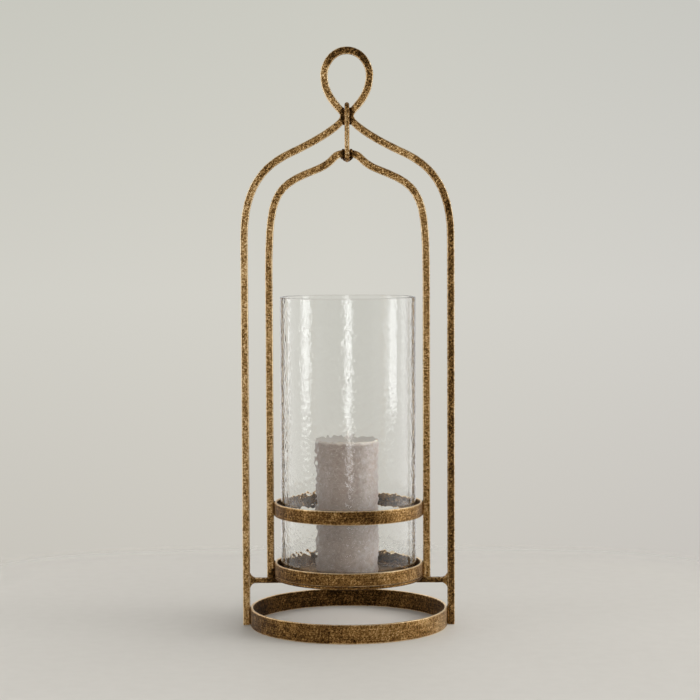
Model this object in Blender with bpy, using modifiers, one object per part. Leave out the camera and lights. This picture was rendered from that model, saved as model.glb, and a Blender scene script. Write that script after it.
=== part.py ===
"""Hurricane candle lantern: a free-standing frame of square brass-finished bar.

An outer frame bends up into a carrying loop. An inner frame stands inside it on a cross bar, tied to the
outer frame's neck by a closed link.
Between the inner legs a tray holds a pillar candle inside a loose glass cylinder.
The frame lies in the XZ plane, Z is up, the front faces -Y, and the origin is on the floor at the centre.
"""

import math

import bmesh
import bpy
from mathutils import Vector

# Driving dimensions, in metres.
GAP = 0.0003  # left between two pieces that touch
BAR = 0.0080  # side of the square bar that both frames are bent from
BAR_EDGE = 0.0006  # bevel along the bar's corners
BAND = 0.003  # thickness of the flat bands and of the tray's plate
BAND_EDGE = 0.0005  # bevel along a band's corners

OUTER_LEG_X = 0.1131  # outer legs' centrelines, each side of the centre
OUTER_SPRING_Z = 0.4277  # where an outer leg starts to bend into the shoulder
OUTER_SHOULDER = (0.0616, 0.5197)  # the shoulder's turning point, right side
OUTER_SLOPE = math.radians(24.4)  # the shoulder's slope there
NECK_Z = 0.5596  # where the two sides of the outer frame meet
NECK_WELD = (0.0062, 0.0056, 0.0140)  # block of weld metal that joins them
NECK_WELD_Z = 0.5586  # its centre
LOOP_SIDE = (0.0248, 0.6044)  # widest point of the carrying loop's centreline
LOOP_TOP_Z = 0.6307  # top of the carrying loop's centreline

INNER_LEG_X = 0.0862
INNER_SPRING_Z = 0.3738
INNER_SHOULDER = (0.0352, 0.5008)
INNER_SLOPE = math.radians(20.8)
APEX_Z = 0.5190  # top of the inner frame's centreline

BASE_HEIGHT = 0.0205
CROSS_BAR = 0.0058  # side of the square cross bar
CROSS_BAR_Z = 0.0464  # its underside
TRAY_TOP_Z = 0.0703
RETAINER_Z = 0.1217  # underside of the band that steadies the glass
RETAINER_HEIGHT = 0.0152

LINK_WIRE = 0.0055  # diameter of the link's wire
LINK_CORNER = 0.0045  # bend radius of its centreline
LINK_RISE = 0.0123  # its top centreline above the neck

GLASS_RADIUS = 0.075
GLASS_WALL = 0.003
GLASS_HEIGHT = 0.307
GLASS_LIP = 0.0013  # radius of the fire-polished edges

CANDLE_RADIUS = 0.0345
CANDLE_HEIGHT = 0.150
CANDLE_X = -0.0014  # the candle stands a little off centre
CANDLE_EDGE = 0.002
WICK_RADIUS = 0.0012
WICK_BORE_RADIUS = 0.0016
WICK_EXPOSED = 0.009

BAND_SEGMENTS = 72
CANDLE_SEGMENTS = 48
PATH_STEPS = 12  # points along each stretch of a bent bar
CORNER_STEPS = 6  # points round each corner of the link
MERGE_DISTANCE = 0.00001  # vertices closer than this are one

# Sizes that follow from the driving dimensions.
HALF_BAR = BAR / 2
BASE_RADIUS = OUTER_LEG_X - HALF_BAR - GAP
TRAY_RADIUS = INNER_LEG_X - HALF_BAR - GAP
DECK_Z = CROSS_BAR_Z + CROSS_BAR + GAP  # what stands on the cross bar starts here
PLATE_TOP_Z = DECK_Z + BAND
NECK_X = HALF_BAR + GAP / 2  # centreline of each side of the outer frame at the neck


def clear_scene():
    """Remove every object that the session started with."""
    for item in list(bpy.data.objects):
        bpy.data.objects.remove(item)


def new_collection(name):
    """Add a collection to the scene."""
    collection = bpy.data.collections.new(name)
    bpy.context.scene.collection.children.link(collection)
    return collection


def principled(name, colour, metallic, roughness, transmission=0.0):
    """Make a material with one Principled BSDF."""
    material = bpy.data.materials.new(name)
    material.use_nodes = True
    shader = material.node_tree.nodes["Principled BSDF"]
    shader.inputs["Base Color"].default_value = (*colour, 1.0)
    shader.inputs["Metallic"].default_value = metallic
    shader.inputs["Roughness"].default_value = roughness
    shader.inputs["Transmission Weight"].default_value = transmission
    return material


def aged_brass(name):
    """Hammered and darkened brass finish."""
    return principled(name, (0.30, 0.19, 0.085), metallic=0.9, roughness=0.45)


def add_object(name, data, collection, material=None, location=(0, 0, 0)):
    """Put a mesh or a curve in a collection as a named object."""
    item = bpy.data.objects.new(name, data)
    item.location = location
    collection.objects.link(item)
    if material is not None:
        data.materials.append(material)
    return item


def shade_round(mesh, angle=math.radians(40)):
    """Shade smooth, with creases kept sharp."""
    mesh.shade_smooth()
    mesh.set_sharp_from_angle(angle=angle)


# Outlines, as lists of points (x, z).


def corner_arcs(corners, radius, steps):
    """Quarter circles, clockwise, each about a centre from a starting angle in degrees."""
    points = []
    for centre_x, centre_z, start in corners:
        for step in range(steps + 1):
            angle = math.radians(start - 90 * step / steps)
            x = centre_x + radius * math.cos(angle)
            z = centre_z + radius * math.sin(angle)
            points.append((x, z))
    return points


def rounded_rectangle(left, right, bottom, top, radius, steps):
    """Upright rectangle, clockwise, its corners rounded or, in one step, bevelled."""
    corners = (
        (right - radius, top - radius, 90),
        (right - radius, bottom + radius, 0),
        (left + radius, bottom + radius, -90),
        (left + radius, top - radius, -180),
    )
    return corner_arcs(corners, radius, steps)


# Bent square bar.


def bar_section(collection):
    """Outline of the square bar with its corners bevelled: a guide that both frames sweep."""
    flat = HALF_BAR - BAR_EDGE
    corners = []
    for side_x, side_y in ((1, 1), (1, -1), (-1, -1), (-1, 1)):
        pair = [(side_x * flat, side_y * HALF_BAR), (side_x * HALF_BAR, side_y * flat)]
        corners += pair if side_x == side_y else pair[::-1]
    curve = bpy.data.curves.new("bar_section", "CURVE")
    curve.dimensions = "2D"
    spline = curve.splines.new("POLY")
    spline.points.add(len(corners) - 1)
    for point, (x, y) in zip(spline.points, corners):
        point.co = (x, y, 0, 1)
    spline.use_cyclic_u = True
    guide = add_object("bar_section", curve, collection)
    guide.hide_render = True
    guide.display_type = "WIRE"
    return guide


def knot(x, z, heading, reach_before, reach_after):
    """A point that a bar passes through: its place, the way it heads, and its handles' lengths."""
    return (
        Vector((x, z, 0)),
        Vector((math.cos(heading), math.sin(heading), 0)),
        reach_before,
        reach_after,
    )


def with_left_side(right_side):
    """Continue a right side that ends on the centreline down a mirrored left side."""
    left_side = []
    for place, heading, before, after in reversed(right_side[:-1]):
        mirrored_place = Vector((-place.x, place.y, 0))
        mirrored_heading = Vector((heading.x, -heading.y, 0))
        left_side.append((mirrored_place, mirrored_heading, after, before))
    return right_side + left_side


def bent_bar(name, knots, section, collection, material):
    """Sweep the bar's section along a flat path, stood up in the XZ plane."""
    curve = bpy.data.curves.new(name, "CURVE")
    curve.dimensions = "2D"
    curve.resolution_u = PATH_STEPS
    spline = curve.splines.new("BEZIER")
    spline.bezier_points.add(len(knots) - 1)
    for point, (place, heading, before, after) in zip(spline.bezier_points, knots):
        point.co = place
        point.handle_left = place - heading * before
        point.handle_right = place + heading * after
    curve.bevel_mode = "OBJECT"
    curve.bevel_object = section
    curve.use_fill_caps = True
    bar = add_object(name, curve, collection, material)
    bar.rotation_euler.x = math.radians(90)
    return bar


def as_welded_mesh(bar):
    """Turn a bent bar into a closed mesh object of the same name."""
    bpy.context.view_layer.update()
    graph = bpy.context.evaluated_depsgraph_get()
    mesh = bpy.data.meshes.new_from_object(bar.evaluated_get(graph))
    cage = bmesh.new()
    cage.from_mesh(mesh)
    bmesh.ops.remove_doubles(cage, verts=cage.verts, dist=MERGE_DISTANCE)
    cage.to_mesh(mesh)
    cage.free()
    name = bar.name
    collection = bar.users_collection[0]
    place = bar.matrix_world.copy()
    bpy.data.objects.remove(bar)
    solid = add_object(name, mesh, collection)
    solid.matrix_world = place
    return solid


UP = math.radians(90)
TO_LEFT = math.radians(180)


def outer_frame(section, parts, cutters):
    """One bar: left foot, leg, shoulder, carrying loop, shoulder, leg and right foot."""
    right_side = [
        knot(OUTER_LEG_X, 0, UP, 0, 0.140),
        knot(OUTER_LEG_X, OUTER_SPRING_Z, UP, 0.140, 0.0565),
        knot(*OUTER_SHOULDER, TO_LEFT - OUTER_SLOPE, 0.0307, 0.0236),
        knot(NECK_X, NECK_Z, UP, 0.0109, 0.0082),
        knot(*LOOP_SIDE, UP, 0.0274, 0.0103),
        knot(0, LOOP_TOP_Z, TO_LEFT, 0.0163, 0.0163),
    ]
    bar = bent_bar(
        "outer_frame",
        with_left_side(right_side),
        section,
        parts,
        aged_brass("outer_frame_brass"),
    )
    frame = as_welded_mesh(bar)
    union = frame.modifiers.new("neck_weld", "BOOLEAN")
    union.operation = "UNION"
    union.object = neck_weld(cutters)
    return frame


def neck_weld(collection):
    """Weld metal that closes the loop where the bar's two sides meet."""
    mesh = bpy.data.meshes.new("neck_weld")
    cage = bmesh.new()
    bmesh.ops.create_cube(cage, size=1.0)
    bmesh.ops.scale(cage, vec=NECK_WELD, verts=cage.verts)
    cage.to_mesh(mesh)
    cage.free()
    weld = add_object("neck_weld", mesh, collection, location=(0, 0, NECK_WELD_Z))
    weld.hide_render = True
    weld.display_type = "WIRE"
    return weld


def inner_frame(section, parts):
    """One bar: left foot, leg, ogee arch, leg and right foot, standing on the cross bar."""
    right_side = [
        knot(INNER_LEG_X, DECK_Z, UP, 0, 0.108),
        knot(INNER_LEG_X, INNER_SPRING_Z, UP, 0.108, 0.099),
        knot(*INNER_SHOULDER, TO_LEFT - INNER_SLOPE, 0.0508, 0.0270),
        knot(0, APEX_Z, TO_LEFT, 0.0189, 0.0189),
    ]
    bent_bar(
        "inner_frame",
        with_left_side(right_side),
        section,
        parts,
        aged_brass("inner_frame_brass"),
    )


# Link between the two frames.


def suspension_link(parts):
    """Closed wire link that passes through the loop and under the inner frame's apex."""
    half_wire = LINK_WIRE / 2
    half_width = HALF_BAR + GAP + half_wire
    bottom = APEX_Z - HALF_BAR - GAP - half_wire
    top = NECK_Z + LINK_RISE
    curve = bpy.data.curves.new("suspension_link", "CURVE")
    curve.dimensions = "3D"
    curve.bevel_depth = half_wire
    curve.bevel_resolution = 2
    spline = curve.splines.new("POLY")
    path = rounded_rectangle(-half_width, half_width, bottom, top, LINK_CORNER, CORNER_STEPS)
    spline.points.add(len(path) - 1)
    for point, (y, z) in zip(spline.points, path):
        point.co = (0, y, z, 1)
    spline.use_cyclic_u = True
    add_object("suspension_link", curve, parts, aged_brass("link_brass"))


# Bands, plate and bar at the bottom.


def turned(name, profile, segments, parts, material, location=(0, 0, 0)):
    """Turn a closed outline about the vertical axis."""
    count = len(profile)
    mesh = bpy.data.meshes.new(name)
    mesh.from_pydata(
        [(x, 0, z) for x, z in profile],
        [(i, (i + 1) % count) for i in range(count)],
        [],
    )
    item = add_object(name, mesh, parts, material, location)
    screw = item.modifiers.new("turn", "SCREW")
    screw.axis = "Z"
    screw.angle = math.radians(360)
    screw.steps = segments
    screw.render_steps = segments
    screw.use_merge_vertices = True
    screw.merge_threshold = MERGE_DISTANCE
    screw.use_smooth_shade = True
    return item


def flat_band(name, radius, bottom, height, parts):
    """Hoop of flat bar, standing on its edge."""
    profile = rounded_rectangle(radius - BAND, radius, 0, height, BAND_EDGE, steps=1)
    material = aged_brass(name + "_brass")
    turned(name, profile, BAND_SEGMENTS, parts, material, location=(0, 0, bottom))


def tray_plate(parts):
    """Round plate under the tray's rim."""
    mesh = bpy.data.meshes.new("tray_plate")
    cage = bmesh.new()
    bmesh.ops.create_cone(
        cage,
        cap_ends=True,
        segments=BAND_SEGMENTS,
        radius1=TRAY_RADIUS,
        radius2=TRAY_RADIUS,
        depth=BAND,
    )
    cage.to_mesh(mesh)
    cage.free()
    shade_round(mesh)
    middle = (0, 0, DECK_Z + BAND / 2)
    plate = add_object("tray_plate", mesh, parts, aged_brass("plate_brass"), middle)
    bevel = plate.modifiers.new("edges", "BEVEL")
    bevel.width = BAND_EDGE
    bevel.segments = 1


def cross_bar(parts):
    """Bar between the outer legs that carries the tray and the inner frame."""
    mesh = bpy.data.meshes.new("cross_bar")
    cage = bmesh.new()
    bmesh.ops.create_cube(cage, size=1.0)
    bmesh.ops.scale(cage, vec=(2 * BASE_RADIUS, CROSS_BAR, CROSS_BAR), verts=cage.verts)
    cage.to_mesh(mesh)
    cage.free()
    middle = (0, 0, CROSS_BAR_Z + CROSS_BAR / 2)
    bar = add_object("cross_bar", mesh, parts, aged_brass("cross_bar_brass"), middle)
    bevel = bar.modifiers.new("edges", "BEVEL")
    bevel.width = BAND_EDGE
    bevel.segments = 1


# Loose pieces that stand on the tray.


def glass_cylinder(parts):
    """Open-ended glass cylinder; its origin is on the axis that it lifts along."""
    inner_radius = GLASS_RADIUS - GLASS_WALL
    profile = rounded_rectangle(inner_radius, GLASS_RADIUS, 0, GLASS_HEIGHT, GLASS_LIP, steps=2)
    material = principled(
        "clear_glass", (0.86, 0.90, 0.87), metallic=0.0, roughness=0.03, transmission=1.0
    )
    foot = (0, 0, PLATE_TOP_Z + GAP)
    turned("glass_cylinder", profile, BAND_SEGMENTS, parts, material, location=foot)


def candle_profile():
    """Closed outline of half the candle: rounded outer edges and a straight bore for the wick."""
    shoulder = CANDLE_RADIUS - CANDLE_EDGE
    corners = ((shoulder, CANDLE_HEIGHT - CANDLE_EDGE, 90), (shoulder, CANDLE_EDGE, 0))
    outer_side = corner_arcs(corners, CANDLE_EDGE, steps=3)
    return [(WICK_BORE_RADIUS, CANDLE_HEIGHT), *outer_side, (WICK_BORE_RADIUS, 0)]


def candle(parts):
    """Pillar candle; its origin is on the axis that it lifts along."""
    wax = principled("taupe_wax", (0.36, 0.28, 0.27), metallic=0.0, roughness=0.55)
    foot = (CANDLE_X, 0, PLATE_TOP_Z + GAP)
    return turned("candle", candle_profile(), CANDLE_SEGMENTS, parts, wax, foot)


def wick(parts, wax_body):
    """Cotton wick down the candle's whole bore, its free end leaning a little."""
    curve = bpy.data.curves.new("wick", "CURVE")
    curve.dimensions = "3D"
    curve.bevel_depth = WICK_RADIUS
    curve.bevel_resolution = 2
    curve.use_fill_caps = True
    spline = curve.splines.new("POLY")
    heights = [GAP, CANDLE_HEIGHT]
    heights += [CANDLE_HEIGHT + WICK_EXPOSED * share for share in (0.4, 0.7, 1.0)]
    spline.points.add(len(heights) - 1)
    for point, z in zip(spline.points, heights):
        above = max(0.0, z - CANDLE_HEIGHT)
        lean = 0.15 * above * above / WICK_EXPOSED
        point.co = (lean, 0, z, 1)
    cotton = principled("cotton", (0.75, 0.70, 0.60), metallic=0.0, roughness=0.9)
    item = add_object("wick", curve, parts, cotton)
    item.parent = wax_body


def build():
    """Make every piece of the lantern."""
    clear_scene()
    parts = new_collection("hurricane_lantern")
    cutters = new_collection("guides_and_cutters")
    section = bar_section(cutters)
    outer_frame(section, parts, cutters)
    inner_frame(section, parts)
    suspension_link(parts)
    flat_band("base_ring", BASE_RADIUS, 0, BASE_HEIGHT, parts)
    cross_bar(parts)
    tray_plate(parts)
    rim_foot = PLATE_TOP_Z + GAP
    flat_band("tray_rim", TRAY_RADIUS, rim_foot, TRAY_TOP_Z - rim_foot, parts)
    flat_band("retaining_ring", TRAY_RADIUS, RETAINER_Z, RETAINER_HEIGHT, parts)
    glass_cylinder(parts)
    wax_body = candle(parts)
    wick(parts, wax_body)


build()
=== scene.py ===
import math

import bmesh
import bpy
import numpy as np
from mathutils import Matrix, Vector, noise


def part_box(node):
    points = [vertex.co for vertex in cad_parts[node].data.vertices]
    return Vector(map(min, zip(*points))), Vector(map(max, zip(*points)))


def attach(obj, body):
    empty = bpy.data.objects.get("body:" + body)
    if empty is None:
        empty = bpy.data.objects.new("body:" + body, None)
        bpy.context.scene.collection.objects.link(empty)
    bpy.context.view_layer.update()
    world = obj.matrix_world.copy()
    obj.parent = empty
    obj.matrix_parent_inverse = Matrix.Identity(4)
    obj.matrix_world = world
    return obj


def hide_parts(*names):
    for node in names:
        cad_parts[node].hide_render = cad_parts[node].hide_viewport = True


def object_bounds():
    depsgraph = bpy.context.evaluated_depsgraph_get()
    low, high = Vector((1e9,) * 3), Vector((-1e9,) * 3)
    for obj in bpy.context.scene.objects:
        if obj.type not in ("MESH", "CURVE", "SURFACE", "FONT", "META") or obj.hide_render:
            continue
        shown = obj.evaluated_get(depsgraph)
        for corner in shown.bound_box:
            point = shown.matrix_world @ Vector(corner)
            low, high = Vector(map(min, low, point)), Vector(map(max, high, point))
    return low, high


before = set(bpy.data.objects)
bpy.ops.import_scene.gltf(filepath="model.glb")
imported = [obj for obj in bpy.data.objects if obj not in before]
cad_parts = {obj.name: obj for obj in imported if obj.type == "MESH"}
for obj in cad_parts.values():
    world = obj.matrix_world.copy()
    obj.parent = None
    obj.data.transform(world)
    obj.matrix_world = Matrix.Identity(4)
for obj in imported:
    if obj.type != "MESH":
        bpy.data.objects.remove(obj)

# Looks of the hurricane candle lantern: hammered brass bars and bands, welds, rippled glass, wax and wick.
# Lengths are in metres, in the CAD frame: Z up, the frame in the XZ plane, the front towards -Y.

cad_low, cad_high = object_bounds()

# Places read from the CAD boxes.
outer_low, outer_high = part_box("outer_frame")
inner_low, inner_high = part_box("inner_frame")
link_low, link_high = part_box("suspension_link")
bar_low, bar_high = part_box("cross_bar")
rim_low, rim_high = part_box("tray_rim")
ring_low, ring_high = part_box("retaining_ring")
_, base_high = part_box("base_ring")
glass_low, glass_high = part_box("glass_cylinder")
candle_low, candle_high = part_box("candle")
wick_low, wick_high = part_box("wick")

BAR = outer_high.y - outer_low.y  # side of the frames' square bar
OUTER_FACE_X = outer_high.x - BAR  # inner face of an outer leg
INNER_FACE_X = inner_high.x - BAR  # inner face of an inner leg
APEX_Z = inner_high.z - BAR / 2  # centreline of the inner frame's apex
NECK_Z = link_high.z - 0.015  # where the outer frame's two sides are welded

NOISE_WAVES = 28  # sine waves summed in the noise that moves vertices
WELD_SEED = 91  # for Blender's own noise, which starts from the clock unless it is seeded

# Sizes of the quads that each kind of metal is rebuilt with.
BAR_VOXEL = 0.0008
BAND_VOXEL = 0.0008
FINE_VOXEL = 0.0005
WELD_VOXEL = 0.00045

FILLET_REACH = 0.0085  # how far the cross bar's fillets run along each side of their corner
FILLET_SUNK = 0.0006  # how deep their corner lies in the metal

CAMERA_PLACE = (0.00236, -2.132, 0.4291)
CAMERA_LENS = 100.0  # millimetres, on a sensor of 36
CAMERA_PITCH = 3.36  # degrees down
CAMERA_ROLL = -0.229  # degrees


# Mesh helpers.


def closed_copy(node):
    """A CAD node's mesh with its split corners welded."""
    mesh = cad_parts[node].data.copy()
    mesh.materials.clear()
    cage = bmesh.new()
    cage.from_mesh(mesh)
    bmesh.ops.remove_doubles(cage, verts=cage.verts, dist=1e-5)
    cage.to_mesh(mesh)
    cage.free()
    return mesh


def voxel_remeshed(mesh, voxel, smoothings=2):
    """The mesh rebuilt as even quads and softened."""
    holder = bpy.data.objects.new("holder", mesh)
    bpy.context.scene.collection.objects.link(holder)
    remesh = holder.modifiers.new("remesh", "REMESH")
    remesh.mode = "VOXEL"
    remesh.voxel_size = voxel
    bpy.context.view_layer.update()
    graph = bpy.context.evaluated_depsgraph_get()
    result = bpy.data.meshes.new_from_object(holder.evaluated_get(graph))
    bpy.data.objects.remove(holder)
    cage = bmesh.new()
    cage.from_mesh(result)
    for _ in range(smoothings):
        bmesh.ops.smooth_vert(
            cage, verts=cage.verts, factor=0.5, use_axis_x=True, use_axis_y=True, use_axis_z=True
        )
    cage.to_mesh(result)
    cage.free()
    return result


def points_of(mesh):
    """The mesh's vertex places as an array."""
    places = np.empty(len(mesh.vertices) * 3, np.float32)
    mesh.vertices.foreach_get("co", places)
    return places.reshape(-1, 3).astype(float)


def normals_of(mesh):
    """The mesh's vertex normals as an array."""
    normals = np.empty(len(mesh.vertices) * 3, np.float32)
    mesh.vertex_normals.foreach_get("vector", normals)
    return normals.reshape(-1, 3).astype(float)


def set_points(mesh, places):
    """Move the mesh's vertices, held inside the CAD box."""
    places = np.clip(places, cad_low, cad_high)
    mesh.vertices.foreach_set("co", places.astype(np.float32).ravel())
    mesh.update()


def noise_at(places, size, seed):
    """Smooth noise of about that feature size, roughly -1 to 1: waves running in random directions."""
    chance = np.random.default_rng(seed)
    total = np.zeros(len(places))
    for _ in range(NOISE_WAVES):
        direction = chance.normal(size=3)
        wavelength = 1.7 * size * chance.uniform(0.75, 1.5)
        direction *= 2 * math.pi / (wavelength * np.linalg.norm(direction))
        total += np.sin(places @ direction + chance.uniform(0, 2 * math.pi))
    return total * 0.28 * math.sqrt(2 / NOISE_WAVES)


def fade(values, start, end):
    """Smooth step from 0 at start to 1 at end."""
    share = np.clip((values - start) / (end - start), 0.0, 1.0)
    return share * share * (3 - 2 * share)


def spot(places, centre, reach):
    """1 at a point, fading to 0 at reach."""
    distance = np.linalg.norm(places - np.array(centre), axis=1)
    return 1 - fade(distance, 0.35 * reach, reach)


def store(mesh, name, values):
    """Keep one number a vertex for the material to read."""
    layer = mesh.attributes.new(name, "FLOAT", "POINT")
    layer.data.foreach_set("value", values.astype(np.float32))


def add_piece(name, data, body, material, replaced=()):
    """Put a finished mesh or curve on its CAD body."""
    piece = bpy.data.objects.new(name, data)
    bpy.context.scene.collection.objects.link(piece)
    data.materials.append(material)
    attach(piece, body)
    if replaced:
        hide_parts(*replaced)
    return piece


def turned(profile, steps):
    """Turn a closed outline of (radius, height) points, listed downwards outside, about the Z axis."""
    radius, height = np.array(profile).T
    angles = 2 * math.pi * np.arange(steps) / steps
    places = np.stack(
        [
            np.outer(np.cos(angles), radius),
            np.outer(np.sin(angles), radius),
            np.outer(np.ones(steps), height),
        ],
        axis=-1,
    )
    here = np.arange(places[..., 0].size).reshape(steps, len(radius))
    below = np.roll(here, -1, axis=1)
    corners = [here, below, np.roll(below, -1, axis=0), np.roll(here, -1, axis=0)]
    faces = np.stack(corners, axis=-1).reshape(-1, 4)
    mesh = bpy.data.meshes.new("turned")
    mesh.from_pydata(places.reshape(-1, 3).tolist(), [], faces.tolist())
    mesh.update()
    mesh.shade_smooth()
    return mesh


def arc(centre_r, centre_z, radius, start, end, steps):
    """Points round an arc, in degrees."""
    angles = np.radians(np.linspace(start, end, steps + 1))
    return [(centre_r + radius * math.cos(a), centre_z + radius * math.sin(a)) for a in angles]


def line(start, end, steps):
    """Points from start to end, leaving both ends out."""
    shares = np.linspace(0, 1, steps + 1)[1:-1]
    return [tuple(np.array(start) * (1 - s) + np.array(end) * s) for s in shares]


# Material helpers.


class Surface:
    """A node material being built round its Principled shader, in object coordinates."""

    def __init__(self, name):
        self.material = bpy.data.materials.new(name)
        self.material.use_nodes = True
        self.tree = self.material.node_tree
        self.shader = self.tree.nodes["Principled BSDF"]
        self.output = self.tree.nodes["Material Output"]
        self.place = self.node("ShaderNodeTexCoord").outputs["Object"]

    def node(self, kind, **settings):
        """Add a node with its settings."""
        made = self.tree.nodes.new(kind)
        for key, value in settings.items():
            setattr(made, key, value)
        return made

    def feed(self, socket, value):
        """Link a socket, or set it where the value is plain."""
        if isinstance(value, bpy.types.NodeSocket):
            self.tree.links.new(value, socket)
        else:
            socket.default_value = value

    def set(self, **values):
        """Set the Principled shader's inputs, named with underscores for spaces."""
        for key, value in values.items():
            self.feed(self.shader.inputs[key.replace("_", " ")], value)

    def noise(self, scale, detail=2.0, roughness=0.5, where=None):
        """Smooth noise, about 0.5 on average."""
        made = self.node("ShaderNodeTexNoise")
        self.feed(made.inputs["Vector"], where or self.place)
        self.feed(made.inputs["Scale"], scale)
        self.feed(made.inputs["Detail"], detail)
        self.feed(made.inputs["Roughness"], roughness)
        return made.outputs["Fac"]

    def stretched(self, x, y, z):
        """Object coordinates scaled along each axis."""
        made = self.node("ShaderNodeMapping")
        self.feed(made.inputs["Vector"], self.place)
        made.inputs["Scale"].default_value = (x, y, z)
        return made.outputs["Vector"]

    def ramp(self, value, *stops):
        """Colours by value: each stop is a position and a colour."""
        made = self.node("ShaderNodeValToRGB")
        self.feed(made.inputs["Fac"], value)
        ramp = made.color_ramp
        while len(ramp.elements) < len(stops):
            ramp.elements.new(0.5)
        for element, (position, colour) in zip(ramp.elements, stops):
            element.position = position
            element.color = (*colour, 1.0)
        return made.outputs["Color"]

    def mixed(self, factor, first, second):
        """From the first colour to the second by the factor."""
        made = self.node("ShaderNodeMix", data_type="RGBA")
        self.feed(made.inputs["Factor"], factor)
        for socket, colour in ((made.inputs[6], first), (made.inputs[7], second)):
            self.feed(socket, (*colour, 1.0) if isinstance(colour, tuple) else colour)
        return made.outputs[2]

    def maths(self, operation, first, second=0.0, clamp=False):
        """One maths step on two values."""
        made = self.node("ShaderNodeMath", operation=operation, use_clamp=clamp)
        self.feed(made.inputs[0], first)
        self.feed(made.inputs[1], second)
        return made.outputs[0]

    def summed(self, *terms):
        """The sum of the terms, held between 0 and 1."""
        total = terms[0]
        for term in terms[1:]:
            total = self.maths("ADD", total, term)
        return self.maths("MULTIPLY", total, 1.0, clamp=True)

    def ranged(self, value, low, high, to_low=0.0, to_high=1.0):
        """The value carried from one range to another and held inside it."""
        made = self.node("ShaderNodeMapRange")
        self.feed(made.inputs["Value"], value)
        for key, number in zip(("From Min", "From Max", "To Min", "To Max"), (low, high, to_low, to_high)):
            made.inputs[key].default_value = number
        return made.outputs["Result"]

    def attribute(self, name):
        """A number stored at the mesh's vertices."""
        return self.node("ShaderNodeAttribute", attribute_name=name).outputs["Fac"]

    def bump(self, height, distance, strength=1.0):
        """A normal tilted by the height."""
        made = self.node("ShaderNodeBump")
        made.inputs["Strength"].default_value = strength
        made.inputs["Distance"].default_value = distance
        self.feed(made.inputs["Height"], height)
        return made.outputs["Normal"]

    def blend_with(self, shader, factor):
        """Show another shader in place of the Principled one where the factor is 1."""
        mix = self.node("ShaderNodeMixShader")
        self.feed(mix.inputs[0], factor)
        self.feed(mix.inputs[1], self.shader.outputs[0])
        self.feed(mix.inputs[2], shader)
        self.feed(self.output.inputs["Surface"], mix.outputs[0])


# Materials.

# The darkest colour serves the pits, the welds and the painted shade; the brightest serves rubbed ridges
# and painted edge highlights.
SOOT_AND_SHADE = (0.022, 0.011, 0.003)
DARK_BRASS = (0.100, 0.049, 0.014)
BROWN_BRASS = (0.29, 0.152, 0.047)
GOLD = (0.63, 0.39, 0.155)
BRIGHT_GOLD = (0.95, 0.76, 0.48)


def brass_material(name, contrast, brushed):
    """Antique brass: dark in the pits, golden on rubbed ridges and on edges that are rubbed and given a
    painted highlight, with patina and painted light and shade from a stored value, sooty or shaded where it
    is below 0.
    """
    s = Surface(name)
    grain = s.noise(1000, detail=2, roughness=0.6)
    flecks = s.noise(480, detail=1)
    rubbed = s.noise(55, detail=4, roughness=0.62)
    lines = s.noise(34, detail=2, where=s.stretched(1.0, 1.0, 26.0))
    tone = s.summed(
        s.ranged(grain, 0.32, 0.68, 0.33 - contrast, 0.33 + contrast),
        s.ranged(flecks, 0.35, 0.65, -0.3 * contrast, 0.3 * contrast),
        s.ranged(rubbed, 0.35, 0.65, -0.10, 0.12),
        s.ranged(lines, 0.35, 0.65, -brushed, brushed),
        s.ranged(s.attribute("pit"), 0.2, 0.8, 0.45 * contrast, -0.45 * contrast),
        # Rubbed edges with a painted highlight on them.
        s.ranged(s.attribute("edge"), 0.1, 0.9, 0.0, 0.64),
        # The patina value also carries painted light and shade, set per piece.
        s.attribute("patina_and_painted_light"),
    )
    colour = s.ramp(
        tone, (0.0, SOOT_AND_SHADE), (0.20, DARK_BRASS), (0.45, BROWN_BRASS), (0.72, GOLD), (1.0, BRIGHT_GOLD)
    )
    relief = s.summed(s.maths("MULTIPLY", grain, 0.75), s.maths("MULTIPLY", lines, brushed * 2))
    s.set(
        Base_Color=colour,
        Metallic=1.0,
        Roughness=s.ranged(tone, 0.1, 0.9, 0.52, 0.34),
        Normal=s.bump(relief, 0.0003, 0.6),
    )
    return s.material


def glass_material(name):
    """Clear glass that lets shadow rays and soft light straight through to what stands inside."""
    s = Surface(name)
    s.set(
        Base_Color=(0.985, 0.99, 0.983, 1.0),
        Roughness=0.0,
        IOR=1.5,
        Transmission_Weight=1.0,
    )
    clear = s.node("ShaderNodeBsdfTransparent")
    clear.inputs["Color"].default_value = (0.94, 0.95, 0.94, 1.0)
    path = s.node("ShaderNodeLightPath")
    passing = s.maths("MAXIMUM", path.outputs["Is Shadow Ray"], path.outputs["Is Diffuse Ray"])
    s.blend_with(clear.outputs[0], passing)
    return s.material


DARK_WAX = (0.190, 0.132, 0.099)
MID_WAX = (0.250, 0.182, 0.144)
PALE_WAX = (0.330, 0.262, 0.230)
FROST = (0.60, 0.56, 0.54)
# Colours for the painted sheen on the candle's right and the painted light on its top.
PAINTED_SHEEN = (0.55, 0.54, 0.56)
TOP_WAX_PAINTED_LIGHT = (0.58, 0.52, 0.45)


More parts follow.
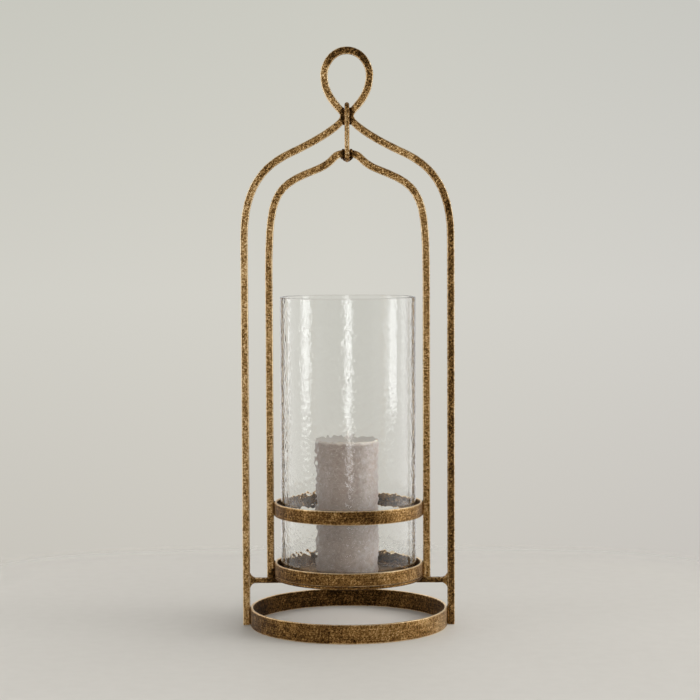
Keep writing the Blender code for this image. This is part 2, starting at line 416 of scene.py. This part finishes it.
def wax_material(name):
    """Mauve-taupe candle wax, mottled and frosted, with painted light on top and a painted sheen on its
    right, with light soaking in.
    """
    s = Surface(name)
    mottle = s.noise(190, detail=4, roughness=0.65)
    frost = s.noise(820, detail=3, roughness=0.7)
    bands = s.noise(24, detail=2, where=s.stretched(1.0, 1.0, 0.5))
    tone = s.summed(s.ranged(mottle, 0.3, 0.7, 0.0, 0.5), s.ranged(bands, 0.35, 0.65, 0.0, 0.5))
    colour = s.ramp(tone, (0.1, DARK_WAX), (0.55, MID_WAX), (0.95, PALE_WAX))
    colour = s.mixed(s.ranged(frost, 0.56, 0.70, 0.0, 0.55), colour, FROST)
    # Painted sheen on the right side.
    painted_sheen = s.maths("MULTIPLY", s.attribute("painted_sheen"), s.ranged(mottle, 0.3, 0.7, 0.08, 0.32))
    colour = s.mixed(painted_sheen, colour, PAINTED_SHEEN)
    # Painted light on the top.
    colour = s.mixed(s.maths("MULTIPLY", s.attribute("top"), 0.7), colour, TOP_WAX_PAINTED_LIGHT)
    s.set(
        Base_Color=colour,
        Roughness=s.ranged(mottle, 0.3, 0.7, 0.30, 0.46),
        Specular_IOR_Level=0.9,
        Subsurface_Weight=0.3,
        Subsurface_Radius=(0.006, 0.0035, 0.0025),
        Subsurface_Scale=1.0,
        Normal=s.bump(s.maths("ADD", mottle, frost), 0.0007, 0.6),
    )
    return s.material


def cotton_material(name):
    """Unburnt wick: waxed cotton yarn."""
    s = Surface(name)
    fibres = s.noise(2600, detail=3, where=s.stretched(1.0, 1.0, 0.25))
    colour = s.ramp(fibres, (0.3, (0.42, 0.37, 0.30)), (0.7, (0.78, 0.73, 0.63)))
    s.set(Base_Color=colour, Roughness=0.85, Sheen_Weight=0.2, Normal=s.bump(fibres, 0.0002, 0.5))
    return s.material


# Metal pieces.


def hammered(mesh, patina_and_painted_light, edge, depth, seed):
    """Give the surface a fine pitted relief and store what its finish needs at each vertex, painted light
    and shade included.
    """
    places = points_of(mesh)
    normals = normals_of(mesh)
    grain = 0.4 * noise_at(places, 0.0026, seed) + 0.7 * noise_at(places, 0.0014, seed + 1)
    dents = noise_at(places, 0.008, seed + 2)
    pits = np.clip(0.5 - grain, 0.0, 1.0)
    sink = depth * ((pits - 0.5) + 0.6 * dents)
    set_points(mesh, places - normals * sink[:, None])
    store(mesh, "pit", pits)
    # The edge value marks rubbed edges that also get a painted highlight.
    store(mesh, "edge", edge(normals))
    # Patina together with painted light and shade.
    store(mesh, "patina_and_painted_light", patina_and_painted_light(places, normals))
    mesh.shade_smooth()
    return mesh


# Masks for rubbed edges that also carry a painted highlight.
def bar_edge(normals):
    """1 on the rounded edges of a bar lying in the XZ plane, 0 on its faces."""
    across = normals[:, 1] ** 2
    return fade(4 * across * (1 - across), 0.25, 0.85)


def band_edge(normals):
    """1 on a band's top and bottom, 0 on its sides."""
    return fade(np.abs(normals[:, 2]), 0.15, 0.55)


def no_edge(normals):
    """Round or lumpy metal has no rubbed edges and no painted edge highlight."""
    return np.zeros(len(normals))


def even_patina(places, normals):
    """No part lighter or darker than another."""
    return np.zeros(len(places))


def band_painted_light(places, normals):
    """Painted light and shade on the bands: painted shade on their inner faces, deeper on the right and
    below the tray, painted light on their right, a little darker at front and back, and a painted shadow on
    one stretch of the retaining ring.
    """
    outward = places[:, :2] / np.linalg.norm(places[:, :2], axis=1)[:, None]
    facing_in = -(outward * normals[:, :2]).sum(axis=1)
    above_tray = fade(places[:, 2], base_high.z, rim_low.z)
    right = outward[:, 0]
    # Painted shade on the inner faces.
    inside = fade(facing_in, 0.3, 0.8) * (0.20 + 0.10 * right - 0.03 * above_tray)
    # Painted shadow on a stretch of the retaining ring.
    shaded = 0.08 * np.exp(-(((right - 0.33) / 0.14) ** 2)) * fade(places[:, 2], rim_high.z, ring_low.z)
    # Painted light on the right.
    brighter = (0.12 - 0.06 * above_tray) * np.maximum(right, 0)
    return 0.03 + 0.10 * right + brighter - 0.04 * outward[:, 1] ** 2 - inside - shaded


def outer_patina_and_painted_light(places, normals):
    """Painted shade round the link at the neck and down the right leg, painted light down the left leg, and
    darker round the loop.
    """
    x, z = places[:, 0], places[:, 2]
    # Painted shade down the right leg.
    patina_and_painted_light = 0.12 - 0.22 * fade(x, 0.080, 0.104) * (1 - fade(z, 0.46, 0.52))
    # Painted light down the left leg.
    patina_and_painted_light += 0.09 * fade(-x, 0.095, 0.108)
    patina_and_painted_light -= 0.24 * fade(z, NECK_Z + 0.042, NECK_Z + 0.064)
    patina_and_painted_light -= 0.12 * fade(z, NECK_Z + 0.012, NECK_Z + 0.030) * fade(x, 0.008, 0.018)
    # Painted shade beside the link at the neck.
    for side in (-1, 1):
        patina_and_painted_light -= 0.36 * spot(places, (side * 0.0050, 0, NECK_Z), 0.0090)
    return patina_and_painted_light


def inner_patina_and_painted_light(places, normals):
    """Darker at the left foot, with painted light on the left leg and painted shade beside the link at the
    apex.
    """
    patina_and_painted_light = 0.10 - 0.35 * spot(places, (inner_low.x + BAR / 2, 0, bar_high.z), 0.010)
    # Painted light on the left leg.
    patina_and_painted_light += 0.04 * fade(-places[:, 0], 0.070, 0.080)
    # Painted shade beside the link at the apex.
    for side in (-1, 1):
        patina_and_painted_light -= 0.32 * spot(places, (side * 0.0050, 0, APEX_Z), 0.0080)
    return patina_and_painted_light


def link_painted_light(places, normals):
    """Painted light along its middle and painted shade at its ends."""
    z = places[:, 2]
    # Painted shade at both ends, painted light between them.
    upper_end = fade(z, NECK_Z + 0.002, link_high.z)
    lower_end = 1 - fade(z, link_low.z + 0.002, APEX_Z)
    return 0.30 - 0.40 * upper_end - 0.3 * lower_end


def bar_painted_shade(places, normals):
    """Painted shade on the cross bar under the tray; it is also darker on its front faces."""
    # Painted shade under the tray.
    under_tray = 1 - fade(np.abs(places[:, 0]), rim_high.x, rim_high.x + 0.012)
    return -0.12 * fade(-normals[:, 1], 0.3, 0.8) - 0.2 * under_tray


def drawn_in_neck(mesh):
    """Squeeze the outer frame's two sides together where they are welded."""
    places = points_of(mesh)
    near_neck = np.exp(-(((places[:, 2] - NECK_Z) / 0.0065) ** 2))
    places[:, 0] *= 1 - 0.11 * near_neck
    set_points(mesh, places)


def metal_piece(node, voxel, material, patina_and_painted_light, edge, seed, depth=0.00016, shape=None):
    """A CAD bar, band, plate or link with its hammered skin."""
    mesh = voxel_remeshed(closed_copy(node), voxel)
    if shape:
        shape(mesh)
    hammered(mesh, patina_and_painted_light, edge, depth, seed)
    add_piece(node + "_hammered", mesh, "frame", material, (node,))


def make_metal():
    """Every bar, band and plate of the welded frame."""
    rough = brass_material("brass_hammered", contrast=0.36, brushed=0.0)
    brushed = brass_material("brass_band", contrast=0.25, brushed=0.09)
    metal_piece("outer_frame", BAR_VOXEL, rough, outer_patina_and_painted_light, bar_edge, 10, shape=drawn_in_neck)
    metal_piece("inner_frame", BAR_VOXEL, rough, inner_patina_and_painted_light, bar_edge, 20)
    metal_piece("suspension_link", FINE_VOXEL, rough, link_painted_light, no_edge, 30, depth=0.0001)
    metal_piece("cross_bar", FINE_VOXEL, rough, bar_painted_shade, bar_edge, 40)
    metal_piece("base_ring", BAND_VOXEL, brushed, band_painted_light, band_edge, 50)
    metal_piece("tray_rim", BAND_VOXEL, brushed, band_painted_light, band_edge, 60)
    metal_piece("tray_plate", BAND_VOXEL, brushed, even_patina, no_edge, 70, depth=0.0001)
    metal_piece("retaining_ring", BAND_VOXEL, brushed, band_painted_light, band_edge, 80)
    make_welds(rough)


# Welds.


def bead(cage, start, end, start_radius, end_radius, count):
    """A row of overlapping balls: a weld bead from one point to another."""
    for share in np.linspace(0, 1, count):
        centre = Vector(start).lerp(Vector(end), share)
        radius = start_radius + (end_radius - start_radius) * share
        wobble = noise.noise_vector(centre / 0.0015) * radius * 0.35
        ball = bmesh.ops.create_icosphere(cage, subdivisions=2, radius=radius)
        bmesh.ops.translate(cage, vec=centre + wobble, verts=ball["verts"])


def fillet(cage, corner, reach_x, reach_z, half_depth, steps=5):
    """Weld metal with a hollow face, filling an inside corner in the XZ plane."""
    x, z = corner
    centre_x, centre_z = x + reach_x, z + reach_z
    outline = [(x, z)]
    for step in range(steps + 1):
        angle = math.radians(90 * step / steps)
        outline.append((centre_x - reach_x * math.sin(angle), centre_z - reach_z * math.cos(angle)))
    front = [cage.verts.new((px, -half_depth, pz)) for px, pz in outline]
    back = [cage.verts.new((px, half_depth, pz)) for px, pz in outline]
    faces = [cage.faces.new(front), cage.faces.new(back[::-1])]
    for i in range(len(outline)):
        faces.append(cage.faces.new((front[i - 1], front[i], back[i], back[i - 1])))
    bmesh.ops.recalc_face_normals(cage, faces=faces)


def neck_welds(cage):
    """Beads at both sides of the link, front and back."""
    for side in (-1, 1):
        for front in (-1, 1):
            start = (side * 0.0043, front * 0.0030, NECK_Z - 0.0080)
            end = (side * 0.0044, front * 0.0030, NECK_Z + 0.0072)
            bead(cage, start, end, 0.0018, 0.0020, 8)


def apex_welds(cage):
    """Beads round the link on the inner frame's apex, running down to a point below it."""
    for side in (-1, 1):
        for front in (-1, 1):
            start = (side * 0.0048, front * 0.0030, APEX_Z - 0.0040)
            end = (side * 0.0042, front * 0.0030, APEX_Z + 0.0032)
            bead(cage, start, end, 0.0020, 0.0019, 6)
        start = (side * 0.0046, 0, APEX_Z - 0.0045)
        end = (side * 0.0012, 0, link_low.z + 0.0024)
        bead(cage, start, end, 0.0024, 0.0020, 6)


def leg_welds(cage):
    """Fillets of the cross bar, and beads down the seams between the legs and the bands."""
    for side in (-1, 1):
        for z, up in ((bar_high.z, 1), (bar_low.z, -1)):
            corner = (side * (OUTER_FACE_X + FILLET_SUNK), z - up * FILLET_SUNK)
            fillet(cage, corner, -side * FILLET_REACH, up * (FILLET_REACH + FILLET_SUNK), BAR * 0.34)
        end_x = side * bar_high.x
        bead(cage, (end_x, 0, bar_low.z + 0.002), (end_x, 0, bar_high.z - 0.002), 0.0026, 0.0026, 3)
        seam_x = side * (base_high.x + 0.0001)
        bead(cage, (seam_x, 0, 0.0022), (seam_x, 0, base_high.z - 0.0022), 0.0019, 0.0019, 12)
        seam_x = side * (ring_high.x + 0.0001)
        bead(cage, (seam_x, 0, ring_low.z + 0.001), (seam_x, 0, ring_high.z - 0.001), 0.0018, 0.0018, 9)
        bead(cage, (seam_x, 0, rim_low.z), (seam_x, 0, rim_high.z - 0.001), 0.0018, 0.0018, 9)
        foot = side * (INNER_FACE_X + 0.0015)
        start = (foot, -0.0030, bar_high.z + 0.0005)
        end = (foot, -0.0034, bar_high.z + 0.0095)
        bead(cage, start, end, 0.0026, 0.0022, 6)
        outside = side * (inner_high.x - 0.0004)
        bead(cage, (outside, -0.001, bar_high.z), (outside, 0.001, bar_high.z), 0.0011, 0.0011, 3)


def weld_patina_and_painted_light(places, normals):
    """Burnt dark, with a painted highlight at the right foot, and bright where the cross bar meets the
    outer legs.
    """
    patina_and_painted_light = np.full(len(places), -0.24)
    # Painted highlight on the weld at the right foot.
    patina_and_painted_light += 0.5 * spot(places, (INNER_FACE_X + 0.002, -0.003, bar_high.z + 0.006), 0.009)
    patina_and_painted_light += 0.38 * fade(np.abs(places[:, 0]), OUTER_FACE_X - 0.006, OUTER_FACE_X - 0.003) * (
        fade(places[:, 2], base_high.z, bar_low.z - 0.006)
    )
    return patina_and_painted_light


def make_welds(material):
    """All weld metal as one lumpy mesh."""
    noise.seed_set(WELD_SEED)
    cage = bmesh.new()
    neck_welds(cage)
    apex_welds(cage)
    leg_welds(cage)
    mesh = bpy.data.meshes.new("welds")
    cage.to_mesh(mesh)
    cage.free()
    mesh = voxel_remeshed(mesh, WELD_VOXEL, smoothings=3)
    hammered(mesh, weld_patina_and_painted_light, no_edge, 0.00035, 90)
    add_piece("weld_beads", mesh, "frame", material)


# Glass, candle and wick.


def make_glass():
    """Hand-made cylinder: rippled on both faces, calmer at the front right, with fire-polished ends."""
    radius = glass_high.x
    wall = 0.003
    lip = 0.0007
    low, high = glass_low.z, glass_high.z
    inner = radius - wall
    rows = 260
    profile = arc(radius - lip, high - lip, lip, 90, 0, 3)
    profile += line((radius, high - lip), (radius, low + lip), rows)
    profile += arc(radius - lip, low + lip, lip, 0, -90, 3)
    profile += arc(inner + lip, low + lip, lip, -90, -180, 3)
    profile += line((inner, low + lip), (inner, high - lip), rows)
    profile += arc(inner + lip, high - lip, lip, 180, 90, 3)
    mesh = turned(profile, steps=400)
    places = points_of(mesh)
    radial = np.hypot(places[:, 0], places[:, 1])
    outward = places * np.array((1, 1, 0)) / radial[:, None]
    side = np.clip((radial - inner) / wall, 0, 1)  # 0 on the inner face, 1 on the outer
    drawn = places * np.array((1.0, 1.0, 0.7)) + side[:, None] * 0.05
    ripple = 0.00008 * noise_at(drawn, 0.0045, 101) + 0.00013 * noise_at(drawn, 0.0023, 102)
    wave = 0.0004 * (0.5 + 0.5 * noise_at(places, 0.050, 103))
    front_right = np.array((0.72, -0.69, 0))
    calm = 0.6 * (1 - fade(np.linalg.norm(outward - front_right, axis=1), 0.2, 0.6))
    sink = 0.0002 + (1 - calm) * ripple
    places -= outward * (wave + (2 * side - 1) * np.clip(sink, 0.0, 0.0008))[:, None]
    ends = np.clip((places[:, 2] - (high - 0.004)) / 0.004, 0, 1)
    places[:, 2] -= ends * 0.0005 * (0.5 + 0.5 * noise_at(outward, 0.35, 104))
    set_points(mesh, places)
    material = glass_material("rippled_glass")
    add_piece("glass_rippled", mesh, "glass", material, ("glass_cylinder",))


def make_candle():
    """Pillar of wax with soft edges, a dish on top, a bore for the wick, and painted light stored for its
    top and a painted sheen for its right side.
    """
    radius = (candle_high.x - candle_low.x) / 2
    centre_x = (candle_high.x + candle_low.x) / 2
    low, high = candle_low.z, candle_high.z
    bore = 0.0016
    edge = 0.0012
    dish = (bore, high - 0.0014)
    profile = [dish]
    profile += line(dish, (radius - edge, high), 26)
    profile += arc(radius - edge, high - edge, edge, 90, 0, 6)
    profile += line((radius, high - edge), (radius, low + edge), 110)
    profile += arc(radius - edge, low + edge, edge, 0, -90, 5)
    profile += line((radius - edge, low), (bore, low), 12)
    profile += [(bore, low)]
    mesh = turned(profile, steps=150)
    places = points_of(mesh)
    lumps = 0.5 + 0.5 * noise_at(places * np.array((1, 1, 0.6)), 0.016, 105)
    fine = 0.5 + 0.5 * noise_at(places, 0.0035, 106)
    keep = fade(np.hypot(places[:, 0], places[:, 1]), 0.003, 0.006)
    places -= normals_of(mesh) * (keep * (0.00018 * lumps + 0.00015 * fine))[:, None]
    places[:, 0] += centre_x
    set_points(mesh, places)
    # Where the wax gets painted light on its top and a painted sheen on its right.
    store(mesh, "top", fade(places[:, 2], high - 0.004, high - 0.001))
    store(mesh, "painted_sheen", fade(places[:, 0], centre_x - 0.005, centre_x + 0.8 * radius))
    add_piece("candle_wax", mesh, "candle", wax_material("candle_wax"), ("candle",))


def make_wick():
    """Three cotton strands laid round each other, leaning a little at the free end."""
    strands = 3
    lay = 0.0042  # length of one turn
    strand_radius = 0.00055
    offset = 0.00056
    rim = candle_high.z
    centre_x = (candle_low.x + candle_high.x) / 2
    exposed = wick_high.z - rim
    heights = np.linspace(wick_low.z + 0.0002, wick_high.z - 0.0006, 400)
    curve = bpy.data.curves.new("wick_strands", "CURVE")
    curve.dimensions = "3D"
    curve.bevel_depth = strand_radius
    curve.bevel_resolution = 2
    curve.use_fill_caps = True
    for strand in range(strands):
        spline = curve.splines.new("POLY")
        spline.points.add(len(heights) - 1)
        for point, z in zip(spline.points, heights):
            turn = 2 * math.pi * (z / lay + strand / strands)
            above = max(0.0, z - rim)
            lean = 0.15 * above * above / exposed
            point.co = (centre_x + lean + offset * math.cos(turn), offset * math.sin(turn), z, 1)
    add_piece("wick_strands", curve, "candle", cotton_material("wick_cotton"), ("wick",))


# Stage.

FLOOR_HALF = 0.58
FLOOR_FADE = (0.42, 0.575)  # how far out the floor starts and stops melting into the backdrop
FLOOR_DARK = (0.67, 0.64, 0.58)
FLOOR_PALE = (0.69, 0.66, 0.60)
# Painted light for the floor inside the base ring.
FLOOR_PAINTED_LIGHT = (0.87, 0.83, 0.76)

BACKDROP_LOW = (0.600, 0.575, 0.522)
BACKDROP_MIDDLE = (0.665, 0.652, 0.597)
BACKDROP_HIGH = (0.600, 0.597, 0.540)
PANEL_COLOUR = (0.97, 0.985, 1.0)


def make_floor():
    """Pale floor with painted light inside the base ring, offsetting the tray's shadow there, that melts
    into the backdrop at its edges.
    """
    cage = bmesh.new()
    bmesh.ops.create_grid(cage, x_segments=1, y_segments=1, size=FLOOR_HALF)
    mesh = bpy.data.meshes.new("floor")
    cage.to_mesh(mesh)
    cage.free()
    floor = bpy.data.objects.new("floor", mesh)
    bpy.context.scene.collection.objects.link(floor)
    floor.location.z = cad_low.z - 0.0002
    s = Surface("floor_paint")
    colour = s.ramp(s.noise(60, detail=3), (0.3, FLOOR_DARK), (0.7, FLOOR_PALE))
    distance = s.node("ShaderNodeVectorMath", operation="LENGTH")
    s.feed(distance.inputs[0], s.place)
    # Painted light inside the base ring, lifting the tray's shadow.
    painted_light_in_ring = s.ranged(distance.outputs["Value"], base_high.x - 0.020, base_high.x - 0.006, 1.0, 0.0)
    s.set(Base_Color=s.mixed(painted_light_in_ring, colour, FLOOR_PAINTED_LIGHT), Roughness=0.6, Specular_IOR_Level=0.25)
    split = s.node("ShaderNodeSeparateXYZ")
    s.feed(split.inputs[0], s.place)
    fourth = [s.maths("POWER", s.maths("ABSOLUTE", split.outputs[axis]), 4.0) for axis in "XY"]
    reach = s.maths("POWER", s.maths("ADD", *fourth), 0.25)
    fading = s.node("ShaderNodeMapRange", interpolation_type="SMOOTHSTEP")
    s.feed(fading.inputs["Value"], reach)
    fading.inputs["From Min"].default_value, fading.inputs["From Max"].default_value = FLOOR_FADE
    clear = s.node("ShaderNodeBsdfTransparent")
    s.blend_with(clear.outputs[0], fading.outputs["Result"])
    mesh.materials.append(s.material)


def world_ramp(tree, value, *stops):
    """Colours of the world by one component of the direction, from -1 to 1."""
    made = tree.nodes.new("ShaderNodeValToRGB")
    tree.links.new(value, made.inputs["Fac"])
    while len(made.color_ramp.elements) < len(stops):
        made.color_ramp.elements.new(0.5)
    for element, (position, colour) in zip(made.color_ramp.elements, stops):
        element.position = (position + 1) / 2
        element.color = (*colour, 1.0)
    return made.outputs["Color"]


def world_mix(tree, factor, first, second, blend="MIX"):
    """Two colours of the world blended."""
    made = tree.nodes.new("ShaderNodeMix")
    made.data_type = "RGBA"
    made.blend_type = blend
    if isinstance(factor, float):
        made.inputs["Factor"].default_value = factor
    else:
        tree.links.new(factor, made.inputs["Factor"])
    tree.links.new(first, made.inputs[6])
    tree.links.new(second, made.inputs[7])
    return made.outputs[2]


def grey(level, warmth=0.0):
    """A grey, a little warmer where asked."""
    return (level * (1 + warmth), level, level * (1 - warmth))


def dome_colour(tree, right, up):
    """Light on dull surfaces: from low down all round, more of it from the right."""
    heights = world_ramp(
        tree,
        up,
        (-0.1, grey(1.6)),
        (0.15, grey(1.8)),
        (0.48, grey(1.65)),
        (0.62, grey(0.33)),
        (0.9, grey(0.25)),
    )
    sides = world_ramp(
        tree, right, (-0.9, grey(0.42)), (0.0, grey(0.75)), (0.5, grey(1.3)), (0.9, grey(2.3))
    )
    return world_mix(tree, 1.0, heights, sides, "MULTIPLY")


def room_colour(tree, right, back, up):
    """What shiny surfaces mirror: a dim room, lighter behind the lantern, at both sides and below."""
    depths = world_ramp(
        tree, back, (-0.5, grey(0.10, 0.03)), (0.0, grey(0.24, 0.03)), (0.6, grey(0.60, 0.03))
    )
    sides = world_ramp(
        tree,
        right,
        (-0.9, grey(0.25, 0.03)),
        (0.1, grey(0.06)),
        (0.3, grey(0.0)),
        (0.6, grey(0.0)),
        (0.95, grey(0.4)),
    )
    below = world_ramp(tree, up, (-0.55, grey(0.55, 0.03)), (-0.03, grey(0.0)))
    return world_mix(tree, 1.0, world_mix(tree, 1.0, depths, sides, "ADD"), below, "ADD")


def make_world():
    """Pale backdrop for the camera, a dome that lights dull surfaces, and a dimmer room for shiny ones."""
    world = bpy.data.worlds.new("studio")
    bpy.context.scene.world = world
    world.use_nodes = True
    world.cycles.sampling_method = "NONE"
    tree = world.node_tree
    tree.nodes.clear()
    coords = tree.nodes.new("ShaderNodeTexCoord")
    halved = tree.nodes.new("ShaderNodeVectorMath")
    halved.operation = "MULTIPLY_ADD"
    tree.links.new(coords.outputs["Generated"], halved.inputs[0])
    halved.inputs[1].default_value = (0.5, 0.5, 0.5)
    halved.inputs[2].default_value = (0.5, 0.5, 0.5)
    split = tree.nodes.new("ShaderNodeSeparateXYZ")
    tree.links.new(halved.outputs[0], split.inputs[0])
    right, back, up = split.outputs["X"], split.outputs["Y"], split.outputs["Z"]
    backdrop = world_ramp(tree, up, (-0.17, BACKDROP_LOW), (-0.03, BACKDROP_MIDDLE), (0.12, BACKDROP_HIGH))
    sides = world_ramp(tree, right, (-0.17, grey(0.965)), (0.0, grey(1.0)), (0.17, (0.965, 0.965, 0.99)))
    backdrop = world_mix(tree, 1.0, backdrop, sides, "MULTIPLY")
    dome = dome_colour(tree, right, up)
    room = room_colour(tree, right, back, up)
    path = tree.nodes.new("ShaderNodeLightPath")
    bounced = tree.nodes.new("ShaderNodeMath")
    bounced.operation = "ADD"
    tree.links.new(path.outputs["Glossy Depth"], bounced.inputs[0])
    tree.links.new(path.outputs["Diffuse Depth"], bounced.inputs[1])
    seen = tree.nodes.new("ShaderNodeMath")
    seen.operation = "LESS_THAN"
    tree.links.new(bounced.outputs[0], seen.inputs[0])
    seen.inputs[1].default_value = 0.5
    colour = world_mix(tree, path.outputs["Is Diffuse Ray"], room, dome)
    colour = world_mix(tree, seen.outputs[0], colour, backdrop)
    background = tree.nodes.new("ShaderNodeBackground")
    tree.links.new(colour, background.inputs["Color"])
    output = tree.nodes.new("ShaderNodeOutputWorld")
    tree.links.new(background.outputs[0], output.inputs["Surface"])


def softbox(name, azimuth, elevation, distance, width, height, radiance):
    """Area light aimed at the lantern's middle; azimuth 0 is in front and 90 to the right."""
    data = bpy.data.lights.new(name, "AREA")
    data.shape = "RECTANGLE"
    data.size = width
    data.size_y = height
    data.energy = radiance * math.pi * width * height
    data.color = PANEL_COLOUR
    lamp = bpy.data.objects.new(name, data)
    bpy.context.scene.collection.objects.link(lamp)
    around, up = math.radians(azimuth), math.radians(elevation)
    middle = (cad_low + cad_high) / 2
    towards = Vector((math.sin(around) * math.cos(up), -math.cos(around) * math.cos(up), math.sin(up)))
    lamp.location = middle + towards * distance
    lamp.rotation_mode = "QUATERNION"
    lamp.rotation_quaternion = towards.to_track_quat("Z", "Y")
    return lamp


def make_lights():
    """Tall soft panels at both sides, a narrower one in front, and a faint strip behind on the left."""
    softbox("panel_right", azimuth=82, elevation=18, distance=1.7, width=0.50, height=1.6, radiance=2.75)
    softbox("panel_left", azimuth=-75, elevation=16, distance=1.8, width=0.60, height=1.6, radiance=1.6)
    softbox("panel_front", azimuth=2, elevation=10, distance=2.7, width=0.46, height=1.9, radiance=2.8)
    softbox(
        "strip_back_left", azimuth=-120, elevation=16, distance=1.9, width=0.35, height=1.6, radiance=1.2
    )


def make_camera():
    """Long lens in front, a little above the glass, looking slightly down."""
    data = bpy.data.cameras.new("camera")
    data.sensor_width = 36.0
    data.lens = CAMERA_LENS
    camera = bpy.data.objects.new("camera", data)
    bpy.context.scene.collection.objects.link(camera)
    tilt = Matrix.Rotation(math.radians(90 - CAMERA_PITCH), 4, "X")
    roll = Matrix.Rotation(math.radians(CAMERA_ROLL), 4, "Z")
    camera.matrix_world = Matrix.Translation(CAMERA_PLACE) @ tilt @ roll
    bpy.context.scene.camera = camera
    bpy.context.scene.view_settings.view_transform = "Standard"


make_camera()
make_metal()
make_glass()
make_candle()
make_wick()
make_floor()
make_world()
make_lights()
